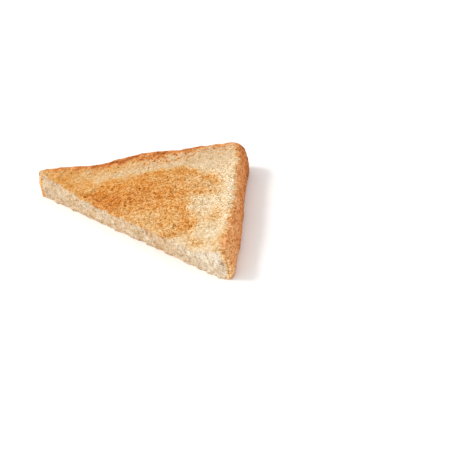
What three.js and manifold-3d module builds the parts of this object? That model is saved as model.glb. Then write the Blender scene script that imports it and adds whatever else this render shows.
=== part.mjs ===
// One half of a slice of sandwich bread, toasted, buttered and cut corner to corner.
// The slice lies flat with its buttered face up. X runs along the cut and Y runs from
// the cut to the square corner that is left. Lengths are millimetres, angles radians.
//
// The whole slice is a finely divided box whose points are moved into the form of a
// slice. A wavy knife then takes one half of it away.

import * as THREE from 'three';
import { mergeVertices } from 'three/addons/utils/BufferGeometryUtils.js';
import Module from 'manifold-3d';

// Driving dimensions of the slice.
const sliceSide = 110;        // whole slice, crust to crust
const rimThickness = 15.5;    // slice thickness at its crust
const cornerRadius = 8;       // seen from above
const topRimRadius = 2.6;     // roll of the crust's upper edge
const bottomRimRadius = 1.8;  // roll of the crust's lower edge
const crustBulge = 0.6;       // swell of the crust halfway up

// The buttered face: a lip inside the crust, a shallow valley, then a flat crown.
const lipRise = 0.8;
const lipInset = 3.5;
const lipWidth = 2.5;
const valleyDepth = 1.2;
const valleyInset = 12;
const crownRise = 0.7;
const crownInset = 30;

// The knife presses the soft crumb down along the cut, from each tip's hold inwards.
// The crust keeps up the first bit of each tip.
const pressDepth = 4.3;
const pressReach = 15;
const tipHeld = 2;
const leftTipHold = 54;
const rightTipHold = 28;

// Along the left side the lip sags near the tip and rises a little further up.
const sagDepth = 1.8;
const sagCentre = { x: -53, y: 22 };
const sagReach = 12;
const riseHeight = 1;
const riseCentre = { x: -36, y: 47 };
const riseReach = 14;

// The left tip leans outwards towards its foot.
const tipFlare = 3;
const tipFlareReach = 12;

// The cut drifts outwards from the left tip to the right one, where the last bit of
// crust is tucked back, and its top edge bulges.
const cutDrift = 2.2;
const rightTipTuck = 8;
const cutBulge = 1.5;

// Unevenness: how high each kind of relief stands, and how long its waves are.
const faceCrags = { height: 0.3, wavelength: 20 };
const fineFaceCrags = { height: 0.2, wavelength: 11 };
const crustCrags = { height: 0.25, wavelength: 15 };
const crustWander = { height: 0.4, wavelength: 80, inset: 30 };
const cutCrags = { height: 0.5, wavelength: 13 };
const fineCutCrags = { height: 0.3, wavelength: 6 };

// The waves that unevenness is made of.
const waveCount = 5;
const goldenAngle = 2.4;
const waveShortening = 0.17;  // each wave is this much shorter than the first
const wavePhase = 1.7;
const waveGain = 1.6;         // brings the crossed waves' usual height to about 1

// How finely the surfaces are divided.
const sideSteps = 48;
const heightSteps = 6;
const rimPacking = 0.3;       // how much closer the rows stand near the crust
const knifeSteps = 76;
const knifeHeightSteps = 7;
const knifeOverrun = 8;       // how far the knife passes the slice on every side

const halfSide = sliceSide / 2;
const halfCut = halfSide * Math.SQRT2;

const smoothstep = THREE.MathUtils.smoothstep;
const lerp = THREE.MathUtils.lerp;

// Crossed waves that never line up: natural unevenness, usually within its height.
function unevenness(x, y, { height, wavelength }) {
  let sum = 0;
  for (let i = 0; i < waveCount; i++) {
    const turn = i * goldenAngle;
    const along = x * Math.cos(turn) + y * Math.sin(turn);
    const frequency = (2 * Math.PI * (1 + waveShortening * i)) / wavelength;
    sum += Math.sin(along * frequency + wavePhase * i);
  }
  return (sum / waveCount) * waveGain * height;
}

// A smooth hill: 1 at its middle, falling to about a third at `reach`.
function hill(distance, reach) {
  return Math.exp(-((distance / reach) ** 2));
}

// How far a quarter-round edge has fallen, `inset` in from the side.
function edgeDrop(inset, radius) {
  const toFlat = Math.max(radius - inset, 0);
  return radius - Math.sqrt(radius ** 2 - toFlat ** 2);
}

// Bends the square's corners into arcs: p and q are measured from the slice's centre.
function roundCorner(p, q) {
  const straight = halfSide - cornerRadius;
  const overP = Math.abs(p) - straight;
  const overQ = Math.abs(q) - straight;
  if (overP <= 0 || overQ <= 0) return [p, q];
  const reach = Math.max(overP, overQ);
  const turn = (Math.PI / 4) * (Math.min(overP, overQ) / reach);
  const angle = overP > overQ ? turn : Math.PI / 2 - turn;
  return [
    Math.sign(p) * (straight + reach * Math.cos(angle)),
    Math.sign(q) * (straight + reach * Math.sin(angle)),
  ];
}

// The share of the knife's press that the crumb takes, from 0 at a tip to 1.
function give(x) {
  const fromLeft = smoothstep(halfCut + x, tipHeld, leftTipHold);
  return fromLeft * smoothstep(halfCut - x, tipHeld, rightTipHold);
}

// How much the lip stands higher or lower than elsewhere.
function sway(x, y) {
  const sag = sagDepth * hill(Math.hypot(x - sagCentre.x, y - sagCentre.y), sagReach);
  const rise = riseHeight * hill(Math.hypot(x - riseCentre.x, y - riseCentre.y), riseReach);
  return rise - sag;
}

// Height of the buttered face, `inset` in from the crust.
function topHeight(x, y, inset) {
  const lip = lipRise * hill(inset - lipInset, lipWidth);
  const valley = valleyDepth * smoothstep(inset, lipInset, valleyInset);
  const crown = crownRise * smoothstep(inset, valleyInset, crownInset);
  const press = pressDepth * give(x) * hill(Math.max(y, 0), pressReach);
  const crags = unevenness(x, y, faceCrags) + unevenness(y, x, fineFaceCrags);
  const face = rimThickness + lip - valley + crown - press + sway(x, y) + crags;
  return face - edgeDrop(inset, topRimRadius);
}

// The underside is flat, and only its rim is rolled.
function bottomHeight(inset) {
  return edgeDrop(inset, bottomRimRadius);
}

// Rows stand closer together near the crust, where the edges roll over.
function packRows(t) {
  return t * (1 + rimPacking * (1 - t * t));
}

// How far the crust stands out past a plain square box, at p and q and at height c.
function crustOffset(p, q, c) {
  const inset = halfSide - Math.max(Math.abs(p), Math.abs(q));
  const wander = unevenness(p, q, crustWander) * smoothstep(-inset, -crustWander.inset, 0);
  const fromLeftTip = Math.hypot(p - halfSide, q + halfSide);
  const flare = (tipFlare * hill(fromLeftTip, tipFlareReach) * (1 - c)) / 2;
  if (inset > Number.EPSILON * sliceSide) return wander + flare;
  const swell = crustBulge * Math.cos((c * Math.PI) / 2);
  return wander + flare + swell + unevenness(p + q, (c * rimThickness) / 2, crustCrags);
}

// Moves a point of the unit box, each coordinate from -1 to 1, to its place in the slice.
function slicePoint(a, b, c) {
  const p0 = packRows(a) * halfSide;
  const q0 = packRows(b) * halfSide;
  const grow = 1 + crustOffset(p0, q0, c) / halfSide;
  const [p, q] = roundCorner(p0 * grow, q0 * grow);
  const x = (q - p) / Math.SQRT2;
  const y = (-p - q) / Math.SQRT2;
  const inset = halfSide - Math.max(Math.abs(p0), Math.abs(q0));
  return [x, y, lerp(bottomHeight(inset), topHeight(x, y, inset), (c + 1) / 2)];
}

// The cut surface: how far it stands out past the straight line between the tips.
function cutOffset(x, z) {
  const tuck = smoothstep(halfCut - x, tipHeld, rightTipTuck);
  const drift = (cutDrift * (1 + x / halfCut) * tuck) / 2;
  const bulge = cutBulge * give(x) * smoothstep(z, 0, rimThickness - pressDepth);
  return drift + bulge + unevenness(x, z, cutCrags) + unevenness(x, z, fineCutCrags);
}

// Builds a closed geometry from a box divided by `steps`, each point placed by `place`.
function shapedBox(steps, place) {
  const box = new THREE.BoxGeometry(2, 2, 2, ...steps);
  box.deleteAttribute('normal');
  box.deleteAttribute('uv');
  const geometry = mergeVertices(box);
  const position = geometry.getAttribute('position');
  for (let i = 0; i < position.count; i++) {
    position.setXYZ(i, ...place(position.getX(i), position.getY(i), position.getZ(i)));
  }
  return geometry;
}

function makeSlice() {
  return shapedBox([sideSteps, sideSteps, heightSteps], slicePoint);
}

// The knife fills the space in front of the cut, past the slice on every side.
function makeKnife() {
  const reach = halfCut + knifeOverrun;
  return shapedBox([knifeSteps, 1, knifeHeightSteps], (a, b, c) => {
    const x = a * reach;
    const z = lerp(-knifeOverrun, rimThickness + knifeOverrun, (c + 1) / 2);
    return [x, b > 0 ? -cutOffset(x, z) : -reach, z];
  });
}

const wasm = await Module();
wasm.setup();

function toSolid(geometry) {
  return new wasm.Manifold(new wasm.Mesh({
    numProp: 3,
    vertProperties: new Float32Array(geometry.getAttribute('position').array),
    triVerts: new Uint32Array(geometry.index.array),
  }));
}

function toGeometry(solid) {
  const mesh = solid.getMesh();
  const geometry = new THREE.BufferGeometry();
  geometry.setAttribute('position', new THREE.BufferAttribute(mesh.vertProperties, 3));
  geometry.setIndex(new THREE.BufferAttribute(mesh.triVerts, 1));
  return geometry;
}

// Moves a geometry so that the centre of its underside is the origin.
function standOnOrigin(geometry) {
  geometry.computeBoundingBox();
  const { min, max } = geometry.boundingBox;
  geometry.translate(-(min.x + max.x) / 2, -(min.y + max.y) / 2, -min.z);
  geometry.computeVertexNormals();
  return geometry;
}

function makeToast() {
  const half = toSolid(makeSlice()).subtract(toSolid(makeKnife()));
  const browned = new THREE.MeshStandardMaterial({
    color: 0xd9a066,
    roughness: 0.8,
    metalness: 0,
  });
  const toast = new THREE.Mesh(standOnOrigin(toGeometry(half)), browned);
  toast.name = 'toast';
  return toast;
}

const part = new THREE.Group();
part.add(makeToast());

export default part;
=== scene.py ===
"""Half a slice of buttered toast, dressed over its CAD frame.

The CAD solid stays as the collision shape. Its place is taken by a finer mesh of the same
form, worked out from the same sizes as part.mjs, that carries the crumb's pores, the ragged
cut and the crust's wrinkles as relief. The browning, the butter, the kind of surface and
the shade painted into hollows and onto duller parts are written to the mesh as attributes,
which one procedural material turns into colour, painted highlights and gloss.

The form is worked out in millimetres in the slice's own frame: x runs along the cut, y from
the cut to the corner that is left, and z up. It becomes metres in the part's frame at the end.
"""

import itertools
import math

import bpy
import numpy as np
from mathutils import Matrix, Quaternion, Vector, noise


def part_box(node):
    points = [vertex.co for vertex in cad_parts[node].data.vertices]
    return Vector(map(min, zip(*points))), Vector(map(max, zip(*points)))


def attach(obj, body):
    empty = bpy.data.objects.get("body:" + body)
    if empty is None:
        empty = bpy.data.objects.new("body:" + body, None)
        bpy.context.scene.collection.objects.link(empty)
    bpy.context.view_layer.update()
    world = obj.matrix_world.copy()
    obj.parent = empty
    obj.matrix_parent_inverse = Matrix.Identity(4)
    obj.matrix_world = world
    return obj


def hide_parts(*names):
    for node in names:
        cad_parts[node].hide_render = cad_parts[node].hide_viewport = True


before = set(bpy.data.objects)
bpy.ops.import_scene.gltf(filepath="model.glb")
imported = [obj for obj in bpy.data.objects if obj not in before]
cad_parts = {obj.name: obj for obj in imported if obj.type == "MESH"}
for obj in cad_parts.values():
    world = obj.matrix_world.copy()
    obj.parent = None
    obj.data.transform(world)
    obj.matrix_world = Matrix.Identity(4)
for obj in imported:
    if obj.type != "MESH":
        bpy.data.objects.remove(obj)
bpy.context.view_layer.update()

MM = 0.001

# --------------------------------------------------------------------------------------
# The slice, in the words and sizes of part.mjs.

SLICE_SIDE = 110.0
RIM_THICKNESS = 15.5
CORNER_RADIUS = 8.0
TOP_RIM_RADIUS = 2.6
BOTTOM_RIM_RADIUS = 1.8
CRUST_BULGE = 0.6
HALF_SIDE = SLICE_SIDE / 2
HALF_CUT = HALF_SIDE * math.sqrt(2)

LIP_RISE = 0.8
LIP_INSET = 3.5
LIP_WIDTH = 2.5
VALLEY_DEPTH = 1.2
VALLEY_INSET = 12.0
CROWN_RISE = 0.7
CROWN_INSET = 30.0

PRESS_DEPTH = 4.3
PRESS_REACH = 15.0
TIP_HELD = 2.0
LEFT_TIP_HOLD = 54.0
RIGHT_TIP_HOLD = 28.0

SAG_DEPTH = 1.8
SAG_CENTRE = (-53.0, 22.0)
SAG_REACH = 12.0
RISE_HEIGHT = 1.0
RISE_CENTRE = (-36.0, 47.0)
RISE_REACH = 14.0

TIP_FLARE = 3.0
TIP_FLARE_REACH = 12.0

CUT_DRIFT = 2.2
RIGHT_TIP_TUCK = 8.0
CUT_BULGE = 1.5

# Unevenness: a height and a wavelength.
FACE_CRAGS = (0.3, 20.0)
FINE_FACE_CRAGS = (0.2, 11.0)
CRUST_CRAGS = (0.25, 15.0)
CRUST_WANDER = (0.4, 80.0)
CRUST_WANDER_INSET = 30.0
CUT_CRAGS = (0.5, 13.0)
FINE_CUT_CRAGS = (0.3, 6.0)
WAVE_COUNT = 5
GOLDEN_ANGLE = 2.4
WAVE_SHORTENING = 0.17
WAVE_PHASE = 1.7
WAVE_GAIN = 1.6

# How the fine mesh is laid over that form.
ROWS = 220  # from the cut to the corner, an even number
LEVELS = 36  # from the underside to the face
ROLL_SPREAD = 12.0  # inset within which rows bunch up to cover the rolled edges evenly
CRAG_FADE = 4.0  # inset at which the crust's crags have died away
CUT_PULL_REACH = 10.0  # how far in from the cut the face is drawn out with it
ALMOST_NOTHING = 1e-9


def smoothstep(value, low, high):
    share = np.clip((value - low) / (high - low), 0, 1)
    return share * share * (3 - 2 * share)


def lerp(start, end, share):
    return start + (end - start) * share


def hill(distance, reach):
    """1 at the middle, falling smoothly to about a third at the reach."""
    return np.exp(-((distance / reach) ** 2))


def unevenness(x, y, height, wavelength):
    """Crossed waves that never line up, usually within the height."""
    total = 0
    for i in range(WAVE_COUNT):
        turn = i * GOLDEN_ANGLE
        along = x * math.cos(turn) + y * math.sin(turn)
        frequency = 2 * math.pi * (1 + WAVE_SHORTENING * i) / wavelength
        total = total + np.sin(along * frequency + WAVE_PHASE * i)
    return total / WAVE_COUNT * WAVE_GAIN * height


def edge_drop(inset, radius):
    """How far a quarter-round edge has fallen, this far in from the side."""
    to_flat = np.maximum(radius - inset, 0)
    return radius - np.sqrt(radius**2 - to_flat**2)


def round_corner(p, q):
    """Bends the square's corners into arcs."""
    straight = HALF_SIDE - CORNER_RADIUS
    over_p = np.abs(p) - straight
    over_q = np.abs(q) - straight
    reach = np.maximum(np.maximum(over_p, over_q), ALMOST_NOTHING)
    turn = math.pi / 4 * np.minimum(over_p, over_q) / reach
    angle = np.where(over_p > over_q, turn, math.pi / 2 - turn)
    in_corner = (over_p > 0) & (over_q > 0)
    bent_p = np.sign(p) * (straight + reach * np.cos(angle))
    bent_q = np.sign(q) * (straight + reach * np.sin(angle))
    return np.where(in_corner, bent_p, p), np.where(in_corner, bent_q, q)


def give(x):
    """The share of the knife's press that the crumb takes, from 0 at a tip to 1."""
    from_left = smoothstep(HALF_CUT + x, TIP_HELD, LEFT_TIP_HOLD)
    return from_left * smoothstep(HALF_CUT - x, TIP_HELD, RIGHT_TIP_HOLD)


def sway(x, y):
    """How much the left side's lip stands higher or lower than the rest of the lip."""
    sag = SAG_DEPTH * hill(np.hypot(x - SAG_CENTRE[0], y - SAG_CENTRE[1]), SAG_REACH)
    rise = RISE_HEIGHT * hill(np.hypot(x - RISE_CENTRE[0], y - RISE_CENTRE[1]), RISE_REACH)
    return rise - sag


def top_height(x, y, inset):
    """Height of the buttered face, this far in from the crust."""
    lip = LIP_RISE * hill(inset - LIP_INSET, LIP_WIDTH)
    valley = VALLEY_DEPTH * smoothstep(inset, LIP_INSET, VALLEY_INSET)
    crown = CROWN_RISE * smoothstep(inset, VALLEY_INSET, CROWN_INSET)
    press = PRESS_DEPTH * give(x) * hill(np.maximum(y, 0), PRESS_REACH)
    crags = unevenness(x, y, *FACE_CRAGS) + unevenness(y, x, *FINE_FACE_CRAGS)
    face = RIM_THICKNESS + lip - valley + crown - press + sway(x, y) + crags
    return face - edge_drop(inset, TOP_RIM_RADIUS)


def crust_offset(p, q, inset, c):
    """How far the crust stands out past a plain square box, at height c from -1 to 1."""
    wander = unevenness(p, q, *CRUST_WANDER) * smoothstep(-inset, -CRUST_WANDER_INSET, 0)
    from_left_tip = np.hypot(p - HALF_SIDE, q + HALF_SIDE)
    flare = TIP_FLARE * hill(from_left_tip, TIP_FLARE_REACH) * (1 - c) / 2
    swell = CRUST_BULGE * np.cos(c * math.pi / 2)
    crags = unevenness(p + q, c * RIM_THICKNESS / 2, *CRUST_CRAGS)
    return wander + flare + (swell + crags) * (1 - smoothstep(inset, 0, CRAG_FADE))


def cut_offset(x, z):
    """How far the cut stands out past the straight line between the tips."""
    tuck = smoothstep(HALF_CUT - x, TIP_HELD, RIGHT_TIP_TUCK)
    drift = CUT_DRIFT * (1 + x / HALF_CUT) * tuck / 2
    bulge = CUT_BULGE * give(x) * smoothstep(z, 0, RIM_THICKNESS - PRESS_DEPTH)
    crags = unevenness(x, z, *CUT_CRAGS) + unevenness(x, z, *FINE_CUT_CRAGS)
    return drift + bulge + crags


def rolled_inset(inset, radius):
    """Spreads evenly spaced insets along the arc of a rolled edge."""
    arc = radius * math.pi / 2
    saved = arc - radius
    travelled = inset * (ROLL_SPREAD + saved) / ROLL_SPREAD
    on_arc = radius * (1 - np.cos(np.minimum(travelled, arc) / radius))
    spread = np.where(travelled < arc, on_arc, travelled - saved)
    return np.where(inset < ROLL_SPREAD, spread, inset)


def form(x0, y0, c):
    """The place of a point of the plain half slice, and its inset from the crust."""
    p0 = (-x0 - y0) / math.sqrt(2)
    q0 = (x0 - y0) / math.sqrt(2)
    reach = np.maximum(np.abs(p0), np.abs(q0))
    up = (c + 1) / 2
    inset = rolled_inset(HALF_SIDE - reach, lerp(BOTTOM_RIM_RADIUS, TOP_RIM_RADIUS, up))
    scale = (HALF_SIDE - inset) / np.maximum(reach, ALMOST_NOTHING)
    grow = 1 + crust_offset(p0 * scale, q0 * scale, inset, c) / HALF_SIDE
    p, q = round_corner(p0 * scale * grow, q0 * scale * grow)
    x = (q - p) / math.sqrt(2)
    y = (-p - q) / math.sqrt(2)
    low = edge_drop(inset, BOTTOM_RIM_RADIUS)
    z = lerp(low, top_height(x, y, inset), up)
    y = y - cut_offset(x, z) * hill(y0, CUT_PULL_REACH)
    z = lerp(low, top_height(x, y, inset), up)
    return np.stack([x, y, z], axis=1), inset


# --------------------------------------------------------------------------------------
# The fine mesh: a lattice for the face, a coarser one for the underside, and rings of
# points between them. A ring runs along the cut, up the right side and down the left.


def triangle_lattice(rows):
    """A right-angled triangle of lattice points, its long side along x, with triangles."""
    across, up = np.meshgrid(np.arange(-rows, rows + 1), np.arange(rows + 1))
    inside = np.abs(across) + up <= rows
    index = np.where(inside, np.cumsum(inside).reshape(inside.shape) - 1, -1)
    a, b = index[:-1, :-1], index[:-1, 1:]
    d, c = index[1:, :-1], index[1:, 1:]
    rising = (across + up - rows)[:-1, :-1] % 2 == 0
    triangles = split_quads(a, b, c, d, rising)
    return across[inside], up[inside], index, triangles[(triangles >= 0).all(axis=1)]


def split_quads(a, b, c, d, rising):
    """Two triangles for each quad, cut along a-c where it is rising and else along b-d."""
    lower = np.where(rising[..., None], np.stack([a, b, c], -1), np.stack([a, b, d], -1))
    upper = np.where(rising[..., None], np.stack([a, c, d], -1), np.stack([b, c, d], -1))
    return np.concatenate([lower, upper]).reshape(-1, 3)


def ring_places(rows):
    """Lattice places of a ring's points."""
    ahead = np.arange(2 * rows)
    climb = np.arange(rows)
    across = np.concatenate([ahead - rows, rows - climb, -climb])
    up = np.concatenate([0 * ahead, climb, rows - climb])
    return across, up


def wall_triangles(columns, levels):
    """Triangles of the walls, their corners numbered level by level from the underside.

    The underside's own ring, level 0, has a corner only at every other column.
    """
    def number(level, column):
        return level * columns + column % columns

    level, column = np.meshgrid(np.arange(1, levels), np.arange(columns), indexing="ij")
    sides = split_quads(
        number(level, column),
        number(level, column + 1),
        number(level + 1, column + 1),
        number(level + 1, column),
        (level + column) % 2 == 0,
    )
    even = np.arange(0, columns, 2)
    feet = np.concatenate([
        np.stack([number(0, even), number(1, even + 1), number(1, even)], -1),
        np.stack([number(0, even), number(0, even + 2), number(1, even + 1)], -1),
        np.stack([number(0, even + 2), number(1, even + 2), number(1, even + 1)], -1),
    ])
    return np.concatenate([sides, feet])


# The square map that the colours are baked through, in millimetres. The face and the
# underside share a smaller square, and the walls are three strips beside it.
MAP_SIDE = 160.0
MAP_MARGIN = 2.0
FACE_GAP = 4.0
STRIP_HEIGHT = 16.0
STRIP_START = SLICE_SIDE + FACE_GAP + 3 * MAP_MARGIN


def face_map(x0, y0):
    p = (HALF_CUT - x0 - y0) / math.sqrt(2)
    q = (HALF_CUT + x0 - y0) / math.sqrt(2)
    return np.stack([p, q], axis=-1) + MAP_MARGIN


def underside_map(x0, y0):
    return SLICE_SIDE + FACE_GAP + 2 * MAP_MARGIN - face_map(-x0, y0)


def wall_map(triangles, columns, levels):
    """Places on the map for the corners that wall_triangles numbered."""
    level, column = np.divmod(triangles, columns)
    wraps = column.max(axis=1) - column.min(axis=1) > columns / 2
    column = column + columns * (wraps[:, None] & (column < columns / 2))
    quarter = columns / 4
    height = level / levels * STRIP_HEIGHT
    along = column / quarter * HALF_CUT
    cut = np.stack([along + MAP_MARGIN, STRIP_START + height], -1)
    along = (column / quarter - 2) * SLICE_SIDE
    right = np.stack([along + MAP_MARGIN, STRIP_START + STRIP_HEIGHT + FACE_GAP + height], -1)
    along = (column / quarter - 3) * SLICE_SIDE
    left = np.stack([STRIP_START + height, along + MAP_MARGIN], -1)
    side = np.floor(column.min(axis=1) / quarter)[:, None, None]
    return np.where(side < 2, cut, np.where(side < 3, right, left))


def prism():
    """Points of the plain prism, each with its height c, its triangles and their map."""
    spacing = HALF_CUT / ROWS
    top_x, top_y, top_index, top = triangle_lattice(ROWS)
    low_x, low_y, low_index, low = triangle_lattice(ROWS // 2)
    ring_x, ring_y = ring_places(ROWS)
    columns = len(ring_x)
    between = np.repeat(np.arange(1, LEVELS), columns)

    x = np.concatenate([top_x, 2 * low_x, np.tile(ring_x, LEVELS - 1)]) * spacing
    y = np.concatenate([top_y, 2 * low_y, np.tile(ring_y, LEVELS - 1)]) * spacing
    c = np.concatenate([0 * top_x + 1, 0 * low_x - 1, 2 * between / LEVELS - 1])

    first_low = len(top_x)
    first_between = first_low + len(low_x)
    low_ring = first_low + low_index[ring_y // 2, ring_x // 2 + ROWS // 2]
    numbers = np.concatenate([
        low_ring,
        first_between + np.arange(len(between)),
        top_index[ring_y, ring_x + ROWS],
    ])
    walls = wall_triangles(columns, LEVELS)
    underside = low[:, ::-1] + first_low
    triangles = np.concatenate([top, underside, numbers[walls]])
    places = np.concatenate([
        face_map(x[top], y[top]),
        underside_map(x[underside], y[underside]),
        wall_map(walls, columns, LEVELS),
    ])
    return x, y, c, triangles, places / MAP_SIDE


# --------------------------------------------------------------------------------------
# Noise, crumb cells and patches. Every seed is a plain number, so each run gives the same
# toast.

# The space that the crumb cells fill.
FIELD_LOW = np.array([-84.0, -8.0, -4.0])
FIELD_SPAN = np.array([168.0, 96.0, 26.0])
SEED_STEP = 31.7
CELL_SLOPE = 0.55  # a cell reaches its full depth over this share of its size


def grain(points, size, seed):
    """Smooth noise, mostly between -0.5 and 0.5, with bumps about this size apart."""
    shifted = points / size + seed * SEED_STEP
    values = (noise.noise(point) for point in shifted.tolist())
    return np.fromiter(values, float, len(points))


def grains(points, kinds):
    """Several grains on top of each other: each kind's size, seed and amount."""
    return sum(amount * grain(points, size, seed) for size, seed, amount in kinds)


def foam(points, size, seed):
    """Crumb cells: how deep each point lies in its cell, 0 at a wall and 1 well inside,
    and its cell's own random number."""
    # A row of cells to spare on every side, so that each point's cell has neighbours.
    random = np.random.default_rng(seed)
    shape = np.ceil(FIELD_SPAN / size).astype(int) + 3
    centres = random.random((*shape, 3))
    lots = random.random(shape)
    home = np.floor((points - FIELD_LOW) / size).astype(int) + 1
    nearest = np.full(len(points), np.inf)
    second = np.full(len(points), np.inf)
    lot = np.zeros(len(points))
    for step in itertools.product((-1, 0, 1), repeat=3):
        cell = home + step
        inside = tuple(cell.T)
        centre = FIELD_LOW + (cell - 1 + centres[inside]) * size
        distance = np.linalg.norm(points - centre, axis=1)
        closer = distance < nearest
        second = np.where(closer, nearest, np.minimum(second, distance))
        lot = np.where(closer, lots[inside], lot)
        nearest = np.minimum(nearest, distance)
    return np.clip((second - nearest) / (CELL_SLOPE * size), 0, 1), lot


def inside_outline(x, y, outline):
    """Distance inside a closed outline, and less than nothing outside it."""
    nearest = np.full(len(x), np.inf)
    inside = np.zeros(len(x), bool)
    for (x1, y1), (x2, y2) in zip(outline, outline[1:] + outline[:1]):
        edge_x, edge_y = x2 - x1, y2 - y1
        share = ((x - x1) * edge_x + (y - y1) * edge_y) / (edge_x**2 + edge_y**2)
        share = np.clip(share, 0, 1)
        away = np.hypot(x - x1 - share * edge_x, y - y1 - share * edge_y)
        nearest = np.minimum(nearest, away)
        if edge_y:
            crosses = (y1 > y) != (y2 > y)
            inside ^= crosses & (x < x1 + (y - y1) / edge_y * edge_x)
    return np.where(inside, nearest, -nearest)


def blob(x, y, centre, radii, turn):
    """A soft oval patch: 1 at its centre, about a third at its radii."""
    dx, dy = x - centre[0], y - centre[1]
    along = dx * math.cos(turn) + dy * math.sin(turn)
    across = dy * math.cos(turn) - dx * math.sin(turn)
    return np.exp(-((along / radii[0]) ** 2) - (across / radii[1]) ** 2)


def patched(x, y, base, patches):
    """The base with its patches added."""
    total = np.full(len(x), float(base))
    for centre, radii, turn, amount in patches:
        total += amount * blob(x, y, centre, radii, turn)
    return total


def side_insets(points):
    """Distances in from the left crust and from the right crust."""
    x, y = points[:, 0], points[:, 1]
    return HALF_SIDE + (x - y) / math.sqrt(2), HALF_SIDE - (x + y) / math.sqrt(2)


# --------------------------------------------------------------------------------------
# The browning. A grain is given by its size, its seed and its amount, and a patch by its
# centre, its radii, its turn and how much browner it is.

# The golden heart of the face, from the left tip round to the right end of the cut.
HEART = [
    (-84, -10), (-84, 10), (-66, 15), (-57, 16), (-48, 13), (-41, 13), (-35, 18), (-30, 22),
    (-23, 28), (-16, 36), (-8, 43), (4, 46), (15, 47), (24, 42), (29, 36), (25, 30),
    (19, 25), (24, 19), (33, 16), (39, 13), (41, 7), (37, 1), (31, -9),
]
HEART_WARP_X = [(6.0, 10, 2.5), (2.5, 11, 1.4)]  # how the heart's edge wanders
HEART_WARP_Y = [(6.0, 20, 2.5), (2.5, 21, 1.4)]
HEART_EDGE = 3.2
EDGE_SOFTENING = [((-42, 16), (22, 10), 0.0, 3.5), ((28, 34), (12, 16), 0.0, 4.0)]

PALE_BASE = 0.13
PALE_PATCHES = [
    ((36, 38), (12, 3), -math.pi / 4, -0.1),
    ((40, 26), (5, 3), -math.pi / 4, 0.1),
    ((44, 19), (6.5, 5), 0.0, 0.25),
    ((64, 7.5), (9, 3.2), -math.pi / 4, 0.36),
    ((54, 12), (6, 5), 0.0, -0.12),
    ((49, 2.5), (7, 3.5), 0.0, 0.29),
    ((-31, 34), (20, 8), math.pi / 4, 0.19),
    ((-48, 22), (13, 7), math.pi / 4, 0.25),
]
HEART_BASE = 0.48
HEART_PATCHES = [
    ((-20, 5), (14, 8), 0.0, 0.22),
    ((-54, 5), (18, 7), 0.0, -0.03),
    ((2, 20), (12, 9), 0.0, 0.16),
    ((-17, 20), (6, 9), -0.4, 0.12),
    ((34, 12), (7, 7), 0.0, 0.06),
    ((18, 38), (11, 8), 0.0, -0.12),
    ((19, 1), (16, 4), 0.0, -0.13),
    ((-76, 1), (6, 6), 0.0, -0.2),
]
BLOTCHES = (5.0, 30)  # the face's uneven toasting, broad and fine: size and seed
MOTTLE = (2.0, 31)
PALE_UNEVENNESS = 0.06
HEART_BLOTCHES = 0.14
HEART_MOTTLE = 0.1
LEFT_MARGIN = (14, 36)  # insets from the left crust over which the face turns mottled
RING = 0.08  # how much browner the heart's right side is just inside its edge
RING_INSET = 2.5
RING_ALONG = (-30, 0)  # from here to there, along the cut, it sets in
SCORCH = [((-35, 0.3), (1.3, 0.8), 0.0, 0.6)]  # a burnt crumb at the edge of the cut

# The dark lip along the left crust: how wide and how brown it is, from the cut up.
BROWN_LIP_ALONG = (0, 4, 12, 26, 36, 44, 58, 76)
BROWN_LIP_WIDTH = (3.0, 5.0, 5.4, 6.4, 7.2, 6.8, 5.6, 4.8)
BROWN_LIP_TONE = (0.25, 0.5, 0.58, 0.7, 0.7, 0.68, 0.54, 0.36)
LIP_RAGGEDNESS = [(3.0, 32, 1.4), (1.2, 33, 1.2)]
LIP_FADE = (-1.8, 1.2)  # from here to there, past its width, the lip fades out
LIP_GRAIN = [(1.2, 35, 0.15)]
LIP_STREAKS = (1.8, 34)  # size and seed
LIP_STREAKINESS = 0.4
LIP_CRUST = 0.8  # how much the lip is coloured as the crust is
STREAK_STRETCH = 0.25  # the breadth of a streak, as a share of its length

# Brown crumbs scattered on the face beside the lip.
LIP_CRUMBS = 0.6  # how much browner they are
LIP_CRUMBS_INSET = 1.0  # how far inside the lip they lie
LIP_CRUMBS_REACH = 3.5
LIP_CRUMBS_ALONG = (28, 46)  # from here to there, up the crust, they set in
LIP_CRUMBS_GRAIN = (1.1, 43)  # size and seed
LIP_CRUMBS_CHOSEN = (0.12, 0.35)  # the grain's heights that become crumbs

# The crust, all round. Its heights run from -1 at the foot to 1 at the face, and its
# depths run the other way.
CRUST_TONE = 0.5
CRUST_GRAINS = [(14.0, 36, 0.2), (4.0, 37, 0.15)]
CRUST_PATCHES = [
    ((0, HALF_CUT), (25, 25), 0.0, 0.24),
    ((HALF_CUT, 0), (22, 22), 0.0, -0.12),
    ((-HALF_CUT, 0), (9, 9), 0.0, -0.3),
]
CRUST_FOOT = 0.07  # how much browner than its middle its foot is
LEFT_SIDE = 0.2  # how much browner its left side is
LEFT_SIDE_BLEND = 10.0  # how soft the change from side to side is at the corner
PALE_TOP = 0.35  # how much paler the left side's top is near the corner
PALE_TOP_HEIGHTS = (0.4, 1)
PALE_TOP_ALONG = (50, 64)  # up the crust from the cut
DARK_EDGE = 0.2  # how much browner the left side's upper edge is
DARK_EDGE_INSET = 2.0
DARK_EDGE_REACH = 1.3
DARK_EDGE_ALONG = (28, 38)
DARK_EDGE_STREAKS = (1.8, 42)
DARK_EDGE_STREAKINESS = 0.4
PALE_FOOT = [((HALF_CUT, 0), (5, 5), 0.0, -0.35)]  # the right tip's foot
PALE_FOOT_DEPTHS = (-0.3, 0.4)

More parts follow.
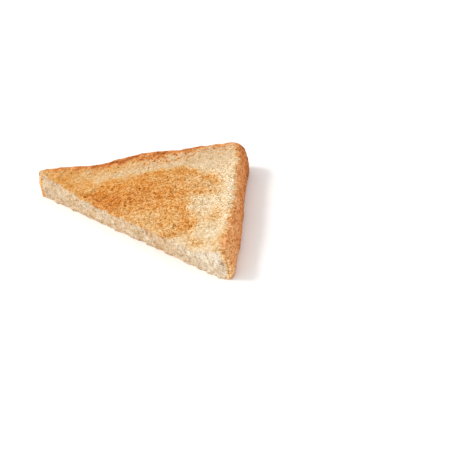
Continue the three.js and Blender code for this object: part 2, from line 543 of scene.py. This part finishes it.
# The cut: crumb, toasted at its edges, and the section of the crust at its ends. A place
# is given by its middle along the cut and its reach.
CUT_TONE = 0.34
CUT_GRAINS = [(5.0, 38, 0.22)]
CUT_RAGGEDNESS = [(1.5, 39, 0.6)]  # of its toasted edges
PALE_CUT = 0.26  # how much paler it is at the right
PALE_CUT_ALONG = (34, 62)
GOLDEN_CUT = 0.08  # how much browner it is some way to the right of its middle
GOLDEN_CUT_PLACE = (28, 8)
PALER_LEFT = 0.08  # how much paler it is near the left tip
PALER_LEFT_PLACE = (-62, 16)
TOASTED_TOP = 0.16  # how much browner its upper edge is
TOASTED_FOOT = 0.08  # and its lower edge
TOASTED_REACH = 0.9
UNTOASTED_TOP = 0.6  # the share of the toasted top that is missing at the right
UNTOASTED_ALONG = (45, 60)
LEFT_SECTION = 0.24  # how golden the crust's section is at the left tip
LEFT_SECTION_FOOT = 0.3  # how much browner it is at its foot
LEFT_SECTION_HEIGHTS = (2, 10)
RIGHT_SECTION = 0.06  # and at the right tip
SECTION_LINE = 0.42  # how much browner the line inside the right tip's skin is
SECTION_LINE_INSET = 0.9
SECTION_LINE_REACH = 0.45


def streaks(points, size, seed):
    """Noise in streaks that run along the left crust, this far apart."""
    left, right = side_insets(points)
    stretched = np.stack([left, STREAK_STRETCH * right, 0 * left], axis=1)
    return grain(stretched, size, seed)


def past_lip(points):
    """How far each point lies in from the dark lip's inner edge."""
    left = side_insets(points)[0]
    return left - np.interp(points[:, 1], BROWN_LIP_ALONG, BROWN_LIP_WIDTH)


def brown_lip(points):
    """Where the face is part of the dark lip along the left crust."""
    return 1 - smoothstep(past_lip(points) + grains(points, LIP_RAGGEDNESS), *LIP_FADE)


def lip_crumbs(points):
    """Where crumbs are scattered on the face, just inside the dark lip."""
    beside = hill(past_lip(points) - LIP_CRUMBS_INSET, LIP_CRUMBS_REACH)
    beside *= smoothstep(points[:, 1], *LIP_CRUMBS_ALONG)
    return beside * smoothstep(grain(points, *LIP_CRUMBS_GRAIN), *LIP_CRUMBS_CHOSEN)


def toasting(points, x, y):
    """How toasted the face is without its lip. x and y are warped."""
    blotches = grain(points, *BLOTCHES)
    mottle = grain(points, *MOTTLE)
    inside = inside_outline(x, y, HEART)
    pale = patched(x, y, PALE_BASE, PALE_PATCHES) + PALE_UNEVENNESS * (blotches + mottle)
    golden = patched(x, y, HEART_BASE, HEART_PATCHES) + HEART_BLOTCHES * blotches
    golden += RING * hill(inside - RING_INSET, RING_INSET) * smoothstep(x, *RING_ALONG)
    golden += HEART_MOTTLE * mottle * smoothstep(side_insets(points)[0], *LEFT_MARGIN)
    edge = patched(x, y, HEART_EDGE, EDGE_SOFTENING)
    return lerp(pale, golden, smoothstep(inside, -edge, edge))


def browning(points):
    """How toasted the face is, from 0, pale, to 1, dark."""
    x = points[:, 0] + grains(points, HEART_WARP_X)
    y = points[:, 1] + grains(points, HEART_WARP_Y)
    toast = toasting(points, x, y)
    toast += patched(points[:, 0], points[:, 1], 0, SCORCH) + LIP_CRUMBS * lip_crumbs(points)
    lip_tone = np.interp(y, BROWN_LIP_ALONG, BROWN_LIP_TONE) + grains(points, LIP_GRAIN)
    lip_tone += LIP_STREAKINESS * streaks(points, *LIP_STREAKS)
    return lerp(toast, np.maximum(toast, lip_tone), brown_lip(points))


def crust_browning(points, c):
    """How brown the crust is: in broad patches, browner at the left side, at the corner
    and towards the foot, and lighter at the tips and at the top near the corner."""
    x, y = points[:, 0], points[:, 1]
    left, right = side_insets(points)
    tone = patched(x, y, CRUST_TONE, CRUST_PATCHES) + grains(points, CRUST_GRAINS)
    tone += patched(x, y, 0, PALE_FOOT) * smoothstep(-c, *PALE_FOOT_DEPTHS)
    left_side = smoothstep(right - left, -LEFT_SIDE_BLEND, LEFT_SIDE_BLEND)
    tone += LEFT_SIDE * left_side - CRUST_FOOT * c
    pale_top = smoothstep(c, *PALE_TOP_HEIGHTS) * smoothstep(y, *PALE_TOP_ALONG)
    tone -= PALE_TOP * left_side * pale_top
    edge = hill(left - DARK_EDGE_INSET, DARK_EDGE_REACH) * smoothstep(y, *DARK_EDGE_ALONG)
    streaky = DARK_EDGE_STREAKINESS * streaks(points, *DARK_EDGE_STREAKS)
    return tone + edge * (DARK_EDGE + streaky)


def along_cut(x, place):
    """1 at a place along the cut, falling to about a third at its reach."""
    middle, reach = place
    return hill(x - middle, reach)


def cut_browning(points, c):
    """How golden the cut crumb is: toasted at its edges, palest towards the right tip."""
    x = points[:, 0]
    tone = CUT_TONE + grains(points, CUT_GRAINS)
    tone -= PALE_CUT * smoothstep(x, *PALE_CUT_ALONG)
    tone += GOLDEN_CUT * along_cut(x, GOLDEN_CUT_PLACE)
    tone -= PALER_LEFT * along_cut(x, PALER_LEFT_PLACE)
    ragged = grains(points, CUT_RAGGEDNESS)
    from_face = (1 - c) * RIM_THICKNESS / 2 + ragged
    from_underside = (1 + c) * RIM_THICKNESS / 2 + ragged
    top = TOASTED_TOP * (1 - UNTOASTED_TOP * smoothstep(x, *UNTOASTED_ALONG))
    tone += top * hill(from_face, TOASTED_REACH)
    return tone + TOASTED_FOOT * hill(from_underside, TOASTED_REACH)


def section_browning(points, inset):
    """How golden the cut crust is: most at the foot of the left tip, and in a line just
    inside the right tip's skin."""
    x, _, z = points.T
    left = LEFT_SECTION + LEFT_SECTION_FOOT * (1 - smoothstep(z, *LEFT_SECTION_HEIGHTS))
    line = hill(inset - SECTION_LINE_INSET, SECTION_LINE_REACH)
    return np.where(x < 0, left, RIGHT_SECTION + SECTION_LINE * line)


# --------------------------------------------------------------------------------------
# The other fields that the material reads: speckle, butter, and dullness with painted shade.

TOASTED = (0.2, 0.5)  # the browning at which the face is still pale, and golden
PALE_GRIT = (0.6, 0.95)  # at the cut and towards the corner
PALE_GRIT_ALONG = (10, 35)
TOASTED_GRIT = 0.88
LEFT_GRIT = 0.6  # the share of the grit that is left along the left side
CRUST_GRIT = 0.9
CUT_GRIT = 0.7

BUTTER_BASE = 0.5
BUTTER_PATCHES = [
    ((8, 35), (12, 8), 0.0, 0.6),
    ((6, 14), (14, 8), 0.0, 0.4),
    ((-8, 4), (8, 4), 0.0, 0.3),
]
BUTTER_GRAINS = [(4.0, 51, 0.4)]
BUTTER_EDGE_GRAINS = [(8.0, 50, 4)]
BUTTER_INSETS = (12, 40)  # from the left crust

# Painted shade in a dull tone: on the cut, and on the face mixed with the crumb's own
# dullness.
DRY_AND_SHADE = 0.5
DRY_AND_SHADE_INSETS = (12, 30)  # from the left crust
LEFT_CUT_SHADE = 0.35
LEFT_CUT_SHADE_PLACE = (-HALF_CUT, 30)
CUT_FOOT_SHADE = 0.25
CUT_FOOT_SHADE_DEPTHS = (-0.2, 1)


def grittiness(points, brown):
    """How strongly the colour is speckled: less on the left, and where the face is pale
    near the cut."""
    pale = lerp(*PALE_GRIT, smoothstep(points[:, 1], *PALE_GRIT_ALONG))
    grit = lerp(pale, TOASTED_GRIT, smoothstep(brown, *TOASTED))
    return grit * lerp(LEFT_GRIT, 1, smoothstep(side_insets(points)[0], *LEFT_MARGIN))


def buttering(points):
    """How much butter sank in: little along the left side and at the corner."""
    x, y = points[:, 0], points[:, 1]
    edge = side_insets(points)[0] + grains(points, BUTTER_EDGE_GRAINS)
    amount = patched(x, y, BUTTER_BASE, BUTTER_PATCHES) + grains(points, BUTTER_GRAINS)
    return np.clip(smoothstep(edge, *BUTTER_INSETS) * amount, 0, 1)


def face_dryness_and_shade(points, brown):
    """How dull and greyish the face is: where it is pale and little butter sank in. This is
    partly the crumb's own dullness and partly painted shade near the left crust.
    """
    near_left = 1 - smoothstep(side_insets(points)[0], *DRY_AND_SHADE_INSETS)
    return DRY_AND_SHADE * near_left * (1 - smoothstep(brown, *TOASTED))


def painted_cut_shade(points, c):
    """The cut is dull too: painted shade towards the left tip and towards its foot."""
    left = LEFT_CUT_SHADE * along_cut(points[:, 0], LEFT_CUT_SHADE_PLACE)
    return left + CUT_FOOT_SHADE * smoothstep(-c, *CUT_FOOT_SHADE_DEPTHS)


# --------------------------------------------------------------------------------------
# The relief. A kind of crumb cell is given by its size and seed, then by how deep its
# cells are and how rare the deep ones are, and how much shade is painted into them and
# how rare the shaded ones are.

CUT_CELLS = [
    (3.0, 1, (0.45, 3), (0.45, 3)),
    (1.7, 2, (0.4, 2), (0.5, 2)),
    (1.0, 3, (0.2, 1), (0.0, 1)),
]
FACE_CELLS = [
    (2.2, 6, (0.6, 4), (1.0, 4)),
    (1.2, 7, (0.35, 2), (0.8, 3)),
]
CRUST_CELLS = [(1.4, 15, (0.2, 2), (0.6, 2))]

# Swellings: the size, seed and height of each grain.
CUT_SWELL = [(4.0, 4, 0.3), (1.8, 5, 0.3)]
FACE_SWELL = [(3.0, 8, 0.22), (1.3, 9, 0.25)]
CRUST_SWELL = [(5.0, 16, 0.3), (1.5, 17, 0.2)]
WRINKLES = [(1.6, 18, 0.2)]
LENGTHWISE = np.array([0.2, 0.2, 1.0])  # stretches the wrinkles along the crust
FOOT_SWELL = [(2.2, 6, 1.6)]  # the cut's ragged foot
FOOT_SWELL_PLACE = (52, 11)
FOOT_SWELL_HEIGHT = 3.0

# Pores worth placing: x, height, radius and depth on the cut; x, y, radius and depth on
# the face.
CUT_PORES = [(72, 8, 0.75, 1.2), (64, 11.8, 0.4, 0.5), (74, 4, 0.5, 0.5), (18, 8, 1.6, 0.5)]
FACE_PORES = [(29, 20, 1.1, 0.9), (33, 22.5, 0.6, 0.5), (26, 33, 0.6, 0.4)]

RELIEF_LIFT = 0.15  # brings the relief's middle back out to the plain form
SMOOTHER_SECTION = 0.5  # the share of the cut's relief that its crust doesn't have

# How wide the crust's brown runs onto the face along the right side, from the cut up.
RIM_ALONG = (0, 9, 16, 24, 32, 60, 67, 76)
RIM_WIDTH = (2.8, 2.4, 3.3, 2.3, 1.4, 1.6, 2.4, 5.0)
LEFT_RIM = 2.5
RIM_SOFTNESS = 1.6  # how far on either side of its edge the brown fades
RIM_RAGGEDNESS = [(3.0, 40, 1.4), (1.2, 41, 0.7)]
RIM_STEADY = 1.5  # inset up to which the raggedness only sets in

# Where the cut shows the crust.
CRUST_SECTIONS = (2.6, 1.6)  # its thickness: left, right
SECTION_SOFTNESS = 0.7
TIP_CRUST_HEIGHTS = (13.4, 14.8)  # from here up the tips are crust
TIP_CRUST_REACHES = (6.0, 11.0)  # and this far along the cut: left, right
TIP_CRUST_FADE = 4.0


def cells(points, kinds):
    """Depth of several kinds of crumb cells, and the shade painted into their hollows."""
    depth = np.zeros(len(points))
    cavity_shade = np.zeros(len(points))
    for size, seed, (deep, deep_rarity), (dark, dark_rarity) in kinds:
        inside, lot = foam(points, size, seed)
        depth += deep * inside * lot**deep_rarity
        cavity_shade += dark * inside * lot**dark_rarity
    return depth, np.clip(cavity_shade, 0, 1)


def pores(along, across, places):
    """Depth of the placed pores, and the shade painted into them."""
    depth = np.zeros(len(along))
    cavity_shade = np.zeros(len(along))
    for pore_along, pore_across, radius, pore_depth in places:
        share = hill(np.hypot(along - pore_along, across - pore_across), radius)
        depth += pore_depth * share
        cavity_shade = np.maximum(cavity_shade, share)
    return depth, cavity_shade


def cut_relief(points):
    """Depth of the torn, open crumb on the cut, and the shade painted into its hollows."""
    x, _, z = points.T
    depth, cavity_shade = cells(points, CUT_CELLS)
    pore_depth, pore_cavity_shade = pores(x, z, CUT_PORES)
    foot = hill(z, FOOT_SWELL_HEIGHT) * along_cut(x, FOOT_SWELL_PLACE)
    swell = grains(points, CUT_SWELL) + foot * grains(points, FOOT_SWELL)
    return depth - swell + pore_depth, np.maximum(cavity_shade, pore_cavity_shade)


def face_relief(points):
    """Depth of the crumb on the toasted face, and the shade painted into its hollows."""
    x, y, _ = points.T
    depth, cavity_shade = cells(points, FACE_CELLS)
    pore_depth, pore_cavity_shade = pores(x, y, FACE_PORES)
    swell = grains(points, FACE_SWELL)
    return depth - swell + pore_depth, np.maximum(cavity_shade, pore_cavity_shade)


def crust_relief(points):
    """Depth of the crust's pits and wrinkles, and the shade painted into its pits."""
    depth, cavity_shade = cells(points, CRUST_CELLS)
    swell = grains(points, CRUST_SWELL) + grains(points * LENGTHWISE, WRINKLES)
    return depth - swell, cavity_shade


def toast_relief(points, crust, crumb, section):
    """Depth of the whole relief, and the shade painted into its hollows."""
    face_depth, face_cavity_shade = face_relief(points)
    crust_depth, crust_cavity_shade = crust_relief(points)
    cut_depth, cut_cavity_shade = cut_relief(points)
    outer_depth = lerp(face_depth, crust_depth, crust)
    outer_cavity_shade = lerp(face_cavity_shade, crust_cavity_shade, crust)
    depth = lerp(outer_depth, cut_depth, crumb * (1 - SMOOTHER_SECTION * section))
    return depth, lerp(outer_cavity_shade, cut_cavity_shade, crumb)


def ragged_inset(points, inset):
    """The inset from the crust, with the raggedness of the crust's inner edge."""
    return inset + grains(points, RIM_RAGGEDNESS) * smoothstep(inset, 0, RIM_STEADY)


def crust_share(points, ragged):
    """Where the face and the walls are crust."""
    left, right = side_insets(points)
    right_rim = np.interp(points[:, 1], RIM_ALONG, RIM_WIDTH)
    width = np.where(right < left, right_rim, LEFT_RIM)
    return 1 - smoothstep(ragged, width - RIM_SOFTNESS, width + RIM_SOFTNESS)


def crust_section(points, ragged):
    """Where the cut shows the crust: at both ends, and over the top of both tips."""
    x, _, z = points.T
    thickness = np.where(x < 0, *CRUST_SECTIONS)
    low, high = thickness - SECTION_SOFTNESS, thickness + SECTION_SOFTNESS
    ends = 1 - smoothstep(ragged, low, high)
    reach = np.where(x < 0, *TIP_CRUST_REACHES)
    over = 1 - smoothstep(HALF_CUT - np.abs(x), reach, reach + TIP_CRUST_FADE)
    return np.maximum(ends, over * smoothstep(z, *TIP_CRUST_HEIGHTS))


# --------------------------------------------------------------------------------------
# The finished mesh and its attributes.


def vertex_normals(points, triangles):
    a, b, c = (points[triangles[:, i]] for i in range(3))
    face = np.cross(b - a, c - a)
    normals = np.zeros_like(points)
    for i in range(3):
        np.add.at(normals, triangles[:, i], face)
    return normals / np.linalg.norm(normals, axis=1, keepdims=True)


def outer_fields(points, c, crust):
    """The fields as they are on the face, the underside and the crust."""
    # The underside browned in its own way: the face's browning, turned round.
    seen = np.where((c < 0)[:, None], points * [-1, 1, 1], points)
    brown = lerp(browning(seen), crust_browning(points, c), crust)
    lip = np.sqrt(np.maximum(brown_lip(seen), lip_crumbs(seen)))
    return {
        "browning": brown,
        "grit": lerp(grittiness(points, brown), CRUST_GRIT, crust),
        "crust": np.maximum(crust, LIP_CRUST * lip),
        "dry_and_shade": face_dryness_and_shade(points, brown),
    }


def cut_fields(points, inset, c, section):
    """The same fields as they are on the cut."""
    golden = section_browning(points, inset)
    return {
        "browning": lerp(cut_browning(points, c), golden, section),
        "grit": CUT_GRIT,
        "crust": section,
        "dry_and_shade": painted_cut_shade(points, c) * (1 - section),
    }


def make_toast_mesh():
    x0, y0, c, triangles, places = prism()
    points, inset = form(x0, y0, c)
    on_cut = (y0 == 0) & (np.abs(c) < 1)
    cut_edge = (y0 == 0) & (np.abs(c) == 1)
    crumb = on_cut + 0.5 * cut_edge
    ragged = ragged_inset(points, inset)
    crust = crust_share(points, ragged)
    section = crust_section(points, ragged)

    depth, cavity_shade = toast_relief(points, crust, crumb, section)
    normals = vertex_normals(points, triangles)
    relief = points + normals * (RELIEF_LIFT - depth[:, None])
    relief[:, 2] = np.clip(relief[:, 2], 0, None)

    outer = outer_fields(points, c, crust)
    cut = cut_fields(points, inset, c, section)
    fields = {name: np.where(on_cut, cut[name], outer[name]) for name in outer}
    fields["crumb"] = crumb
    fields["cavity_shade"] = cavity_shade
    fields["butter"] = buttering(points) * (c == 1) * (1 - crust)
    return relief, triangles, places, fields


def to_part_frame(points):
    """Stands the millimetre points where the CAD solid stands, in metres."""
    low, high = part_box("toast")
    middle = (points.min(axis=0) + points.max(axis=0)) / 2
    shift = np.array([(low[0] + high[0]) / 2, (low[1] + high[1]) / 2, 0])
    return (points - [middle[0], middle[1], 0]) * MM + shift


def add_mesh(name, points, triangles, places, fields):
    mesh = bpy.data.meshes.new(name)
    mesh.vertices.add(len(points))
    mesh.vertices.foreach_set("co", points.ravel())
    mesh.loops.add(3 * len(triangles))
    mesh.loops.foreach_set("vertex_index", triangles.ravel())
    mesh.polygons.add(len(triangles))
    mesh.polygons.foreach_set("loop_start", np.arange(0, 3 * len(triangles), 3))
    mesh.update(calc_edges=True)
    mesh.shade_smooth()
    uv = mesh.uv_layers.new(name="OFBake")
    uv.data.foreach_set("uv", places.reshape(-1))
    for field, values in fields.items():
        attribute = mesh.attributes.new(field, "FLOAT", "POINT")
        attribute.data.foreach_set("value", values.astype(np.float32))
    piece = bpy.data.objects.new(name, mesh)
    bpy.context.scene.collection.objects.link(piece)
    return piece


# --------------------------------------------------------------------------------------
# The material.


def linear(red, green, blue):
    """A colour given as 0 to 255 in sRGB, in the linear values that Blender mixes."""
    def one(value):
        share = value / 255
        return share / 12.92 if share <= 0.04045 else ((share + 0.055) / 1.055) ** 2.4

    return (one(red), one(green), one(blue), 1.0)


NOISE_RANGE = (0.35, 0.65)  # where most of a noise texture's values lie
SPECK_CORE = 0.4  # the share of a speck's radius within which it is full


class Nodes:
    """Short calls for the nodes of one material. Anything may be a socket or a number."""

    def __init__(self, name):
        self.material = bpy.data.materials.new(name)
        self.material.use_nodes = True
        self.tree = self.material.node_tree
        self.shader = self.tree.nodes["Principled BSDF"]
        coordinates = self.tree.nodes.new("ShaderNodeTexCoord")
        self.place = coordinates.outputs["Object"]

    def feed(self, socket, value):
        if isinstance(value, bpy.types.NodeSocket):
            self.tree.links.new(value, socket)
        else:
            socket.default_value = value

    def attribute(self, name):
        node = self.tree.nodes.new("ShaderNodeAttribute")
        node.attribute_name = name
        return node.outputs["Fac"]

    def math(self, operation, first, second=0.0, clamp=False):
        node = self.tree.nodes.new("ShaderNodeMath")
        node.operation = operation
        node.use_clamp = clamp
        self.feed(node.inputs[0], first)
        self.feed(node.inputs[1], second)
        return node.outputs[0]

    def vector(self, operation, first, second):
        node = self.tree.nodes.new("ShaderNodeVectorMath")
        node.operation = operation
        self.feed(node.inputs[0], first)
        self.feed(node.inputs[1], second)
        return node.outputs[0]

    def spread(self, value, low, high, to_low=0.0, to_high=1.0):
        """Maps a range of values to another one, smoothly, and holds it there."""
        node = self.tree.nodes.new("ShaderNodeMapRange")
        node.interpolation_type = "SMOOTHSTEP"
        for socket, number in zip(node.inputs, (value, low, high, to_low, to_high)):
            self.feed(socket, number)
        return node.outputs[0]

    def grain(self, size, detail=2.0, roughness=0.5, stretch=(1.0, 1.0, 1.0)):
        """Noise from 0 to 1 with bumps about this many millimetres apart."""
        node = self.tree.nodes.new("ShaderNodeTexNoise")
        self.feed(node.inputs["Vector"], self.vector("MULTIPLY", self.place, stretch))
        node.inputs["Scale"].default_value = 1 / (size * MM)
        node.inputs["Detail"].default_value = detail
        node.inputs["Roughness"].default_value = roughness
        return node.outputs["Fac"]

    def swing(self, size, strength, **how):
        """Noise that swings this far to either side of zero."""
        return self.spread(self.grain(size, **how), *NOISE_RANGE, -strength, strength)

    def specks(self, size, radius, share):
        """Round specks, 1 inside, this far apart. Only this share of the places has one."""
        node = self.tree.nodes.new("ShaderNodeTexVoronoi")
        self.feed(node.inputs["Vector"], self.place)
        node.inputs["Scale"].default_value = 1 / (size * MM)
        edge = radius / size
        here = self.spread(node.outputs["Distance"], edge, edge * SPECK_CORE)
        split = self.tree.nodes.new("ShaderNodeSeparateColor")
        self.feed(split.inputs[0], node.outputs["Color"])
        chosen = self.math("LESS_THAN", split.outputs[0], share)
        return self.math("MULTIPLY", here, chosen)

    def darken(self, colour, amount, tint):
        """Takes away an amount of light, or adds it, in the tint's share of each colour."""
        lost = self.vector("MULTIPLY", amount, tint)
        return self.vector("MULTIPLY", colour, self.vector("SUBTRACT", (1, 1, 1), lost))

    def ramp(self, value, stops):
        node = self.tree.nodes.new("ShaderNodeValToRGB")
        elements = node.color_ramp.elements
        while len(elements) < len(stops):
            elements.new(0.5)
        for element, (position, colour) in zip(elements, stops):
            element.position = position
            element.color = linear(*colour)
        self.feed(node.inputs[0], value)
        return node.outputs["Color"]

    def mix(self, share, first, second):
        node = self.tree.nodes.new("ShaderNodeMix")
        node.data_type = "RGBA"
        self.feed(node.inputs["Factor"], share)
        self.feed(node.inputs[6], first)
        self.feed(node.inputs[7], second)
        return node.outputs[2]

    def mix_numbers(self, share, first, second):
        node = self.tree.nodes.new("ShaderNodeMix")
        self.feed(node.inputs[0], share)
        self.feed(node.inputs[2], first)
        self.feed(node.inputs[3], second)
        return node.outputs[0]

    def bump(self, height, depth):
        node = self.tree.nodes.new("ShaderNodeBump")
        node.inputs["Distance"].default_value = depth * MM
        self.feed(node.inputs["Height"], height)
        return node.outputs["Normal"]


TOAST_TONES = [
    (0.0, (244, 226, 196)),
    (0.2, (241, 209, 164)),
    (0.4, (231, 180, 115)),
    (0.6, (219, 143, 60)),
    (0.8, (193, 106, 34)),
    (1.0, (136, 64, 22)),
]
CRUMB_TONES = [
    (0.0, (250, 235, 212)),
    (0.35, (236, 210, 176)),
    (0.7, (234, 182, 120)),
    (1.0, (200, 128, 66)),
]
CRUST_TONES = [
    (0.1, (243, 194, 140)),
    (0.5, (226, 151, 94)),
    (0.9, (164, 90, 47)),
]
SECTION_TONES = [
    (0.0, (255, 222, 168)),
    (0.5, (236, 172, 104)),
    (1.0, (206, 120, 56)),
]
# The warm brown of the shade painted into hollows.
CAVITY_SHADE_TONE = (176, 106, 48)
CAVITY_SHADE_SHARES = (0.3, 0.7)  # how much painted shade the hollows show: on the face, and on the cut
# The colour of the painted highlights that stand for the butter's glints.
GLINT_TONE = (252, 200, 146)
# The dull tone of the unbuttered crumb and of the painted shade.
DRY_AND_SHADE_TONE = (214, 183, 147)
# What specks and wrinkles take away: more blue than red, above all on the crust.
WARM_SHADE = (0.9, 1.0, 1.25)
CRUST_SHADE = (0.7, 1.0, 1.45)

# Speckle, finer than the mesh: its size in millimetres and its strength.
COARSE_SPECKLE = (1.5, 0.15)
FINE_SPECKLE = (0.6, 0.21)
CRUST_WRINKLES = (0.6, 0.26)
WRINKLE_STRETCH = (0.3, 0.3, 1.0)
SPECKLE_BROWNING = 0.5  # how much the speckle shakes the browning, and on the crust
CRUST_SPECKLE_BROWNING = 0.2

# Bran: dark dots in clusters, which fade in over a range of the noise.
BRAN_SIZE = 0.9
BRAN_RANGE = (0.55, 0.66)
BRAN_SHADES = (0.15, 0.6)  # on the crust and the cut, and on the face
BRAN_CLUSTER_SIZE = 7.0
BRAN_CLUSTER_RANGE = (0.4, 0.6)
BRAN_BETWEEN_CLUSTERS = 0.4

BURNT_SPECKS = (1.7, 0.6, 0.22)  # how far apart, their radius, and the share of places
BURNT_SHADE = 0.45
BASE_SHADE = 0.1

# Painted highlights: lighter specks that stand for the butter's glints.
GLINT_SIZE = 1.6
GLINT_DETAIL = 3.0
GLINT_RANGE = (0.52, 0.68)
ROUGHNESSES = (0.85, 0.5)  # without butter, and buttered
BUTTER_COAT = 0.15
COAT_ROUGHNESS = 0.25
BUMP_SIZE = 0.6
BUMP_DEPTH = 0.4


def bread_colour(nodes, fields, speckle):
    """The colour of face, crust and cut, before anything darkens it."""
    brown, crust, crumb = fields["browning"], fields["crust"], fields["crumb"]
    shaken = nodes.math("ADD", brown, nodes.math("MULTIPLY", speckle, SPECKLE_BROWNING))
    barely = nodes.math("MULTIPLY", speckle, CRUST_SPECKLE_BROWNING)
    outer = nodes.ramp(nodes.math("ADD", brown, barely), CRUST_TONES)
    outside = nodes.mix(crust, nodes.ramp(shaken, TOAST_TONES), outer)
    section = nodes.ramp(shaken, SECTION_TONES)
    inside = nodes.mix(crust, nodes.ramp(shaken, CRUMB_TONES), section)
    colour = nodes.mix(crumb, outside, inside)
    # Dullness and painted shade: the colour greyed towards the dull tone.
    colour = nodes.mix(fields["dry_and_shade"], colour, linear(*DRY_AND_SHADE_TONE))
    # Painted shade: hollows darkened towards a warm brown, more on the cut than on the face.
    cavity_shade_share = nodes.math("MULTIPLY", fields["cavity_shade"], nodes.mix_numbers(crumb, *CAVITY_SHADE_SHARES))
    return nodes.mix(cavity_shade_share, colour, linear(*CAVITY_SHADE_TONE))


def bran(nodes, fields):
    """How much light the bran takes away: most on the face."""
    on_face = nodes.math(
        "MULTIPLY",
        nodes.math("SUBTRACT", 1.0, fields["crust"]),
        nodes.math("SUBTRACT", 1.0, fields["crumb"]),
    )
    shade = nodes.mix_numbers(on_face, *BRAN_SHADES)
    dots = nodes.spread(nodes.grain(BRAN_SIZE), *BRAN_RANGE, 0.0, shade)
    clusters = nodes.grain(BRAN_CLUSTER_SIZE)
    clusters = nodes.spread(clusters, *BRAN_CLUSTER_RANGE, BRAN_BETWEEN_CLUSTERS, 1.0)
    return nodes.math("MULTIPLY", nodes.math("MULTIPLY", dots, clusters), fields["grit"])


def bread_shade(nodes, fields, speckle):
    """How much light bran, burnt specks, speckle and wrinkles take away."""
    wrinkles = nodes.swing(*CRUST_WRINKLES, stretch=WRINKLE_STRETCH)
    wrinkles = nodes.math("MULTIPLY", wrinkles, fields["crust"])
    burnt = nodes.math("MULTIPLY", nodes.specks(*BURNT_SPECKS), BURNT_SHADE)
    shade = nodes.math("ADD", speckle, wrinkles)
    shade = nodes.math("ADD", shade, bran(nodes, fields))
    shade = nodes.math("ADD", shade, burnt)
    return nodes.math("ADD", shade, BASE_SHADE)


def toasted_bread():
    """The one material of the whole toast."""
    nodes = Nodes("toasted_bread")
    names = ("browning", "grit", "crust", "crumb", "cavity_shade", "butter", "dry_and_shade")
    fields = {name: nodes.attribute(name) for name in names}
    butter = fields["butter"]

    speckle = nodes.math("ADD", nodes.swing(*COARSE_SPECKLE), nodes.swing(*FINE_SPECKLE))
    speckle = nodes.math("MULTIPLY", speckle, fields["grit"])
    colour = bread_colour(nodes, fields, speckle)
    tint = nodes.mix(fields["crust"], (*WARM_SHADE, 1.0), (*CRUST_SHADE, 1.0))
    colour = nodes.darken(colour, bread_shade(nodes, fields, speckle), tint)

    # Painted highlights: lighter specks mixed in where the face is buttered and browned.
    shining = nodes.math("MULTIPLY", fields["browning"], butter, clamp=True)
    glints = nodes.spread(nodes.grain(GLINT_SIZE, GLINT_DETAIL), *GLINT_RANGE)
    glints = nodes.math("MULTIPLY", glints, shining)
    colour = nodes.mix(glints, colour, linear(*GLINT_TONE))

    nodes.feed(nodes.shader.inputs["Base Color"], colour)
    nodes.feed(nodes.shader.inputs["Roughness"], nodes.mix_numbers(butter, *ROUGHNESSES))
    nodes.feed(nodes.shader.inputs["Coat Weight"], nodes.math("MULTIPLY", butter, BUTTER_COAT))
    nodes.shader.inputs["Coat Roughness"].default_value = COAT_ROUGHNESS
    nodes.shader.inputs["Specular IOR Level"].default_value = 0.0
    bump = nodes.bump(nodes.grain(BUMP_SIZE), BUMP_DEPTH)
    nodes.feed(nodes.shader.inputs["Normal"], bump)
    return nodes.material


def make_toast():
    points, triangles, places, fields = make_toast_mesh()
    piece = add_mesh("buttered_toast", to_part_frame(points), triangles, places, fields)
    piece.data.materials.append(toasted_bread())
    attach(piece, "root")
    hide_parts("toast")
    return piece


# --------------------------------------------------------------------------------------
# The studio: a pale floor, soft light, and the camera at the photograph's viewing angle.

FLOOR_SIDE = 4.0
CAMERA_PLACE = (0.54634, -0.36212, 0.34183)
CAMERA_AIM = (0.03519, -0.00458, 0.0)
CAMERA_ROLL = math.radians(-12.455)
CAMERA_LENS = 118.98
SENSOR = 36.0
FLOOR_TONES = [(0.4, (248, 247, 246)), (0.6, (250, 249, 248))]
FLOOR_PATCHES = 60.0  # how far apart they are, in millimetres
FLOOR_ROUGHNESS = 0.9
SKY_STRENGTH = 0.9
KEY_PLACE = (-0.75, -0.45, 1.1)
KEY_SIZE = 0.4
KEY_POWER = 8.5


def pale_floor_material():
    nodes = Nodes("pale_floor")
    tone = nodes.ramp(nodes.grain(FLOOR_PATCHES), FLOOR_TONES)
    nodes.feed(nodes.shader.inputs["Base Color"], tone)
    nodes.shader.inputs["Roughness"].default_value = FLOOR_ROUGHNESS
    return nodes.material


def make_floor():
    bpy.ops.mesh.primitive_plane_add(size=FLOOR_SIDE)
    floor = bpy.context.object
    floor.name = "floor"
    floor.data.materials.append(pale_floor_material())


def aim(thing, place, target, roll=0.0):
    back = (Vector(place) - Vector(target)).normalized()
    thing.location = place
    thing.rotation_mode = "QUATERNION"
    thing.rotation_quaternion = back.to_track_quat("Z", "Y") @ Quaternion((0, 0, 1), roll)


def make_camera():
    data = bpy.data.cameras.new("camera")
    data.lens = CAMERA_LENS
    data.sensor_width = SENSOR
    camera = bpy.data.objects.new("camera", data)
    bpy.context.scene.collection.objects.link(camera)
    aim(camera, CAMERA_PLACE, CAMERA_AIM, CAMERA_ROLL)
    bpy.context.scene.camera = camera


def add_softbox(name, place, size, power):
    data = bpy.data.lights.new(name, "AREA")
    data.shape = "DISK"
    data.size = size
    data.energy = power
    light = bpy.data.objects.new(name, data)
    bpy.context.scene.collection.objects.link(light)
    aim(light, place, (0, 0, 0))


def make_light():
    world = bpy.data.worlds.new("studio")
    world.use_nodes = True
    background = world.node_tree.nodes["Background"]
    background.inputs["Color"].default_value = (1.0, 1.0, 1.0, 1.0)
    background.inputs["Strength"].default_value = SKY_STRENGTH
    bpy.context.scene.world = world
    bpy.context.scene.view_settings.view_transform = "Standard"
    add_softbox("key", KEY_PLACE, KEY_SIZE, KEY_POWER)


make_camera()
make_toast()
make_floor()
make_light()
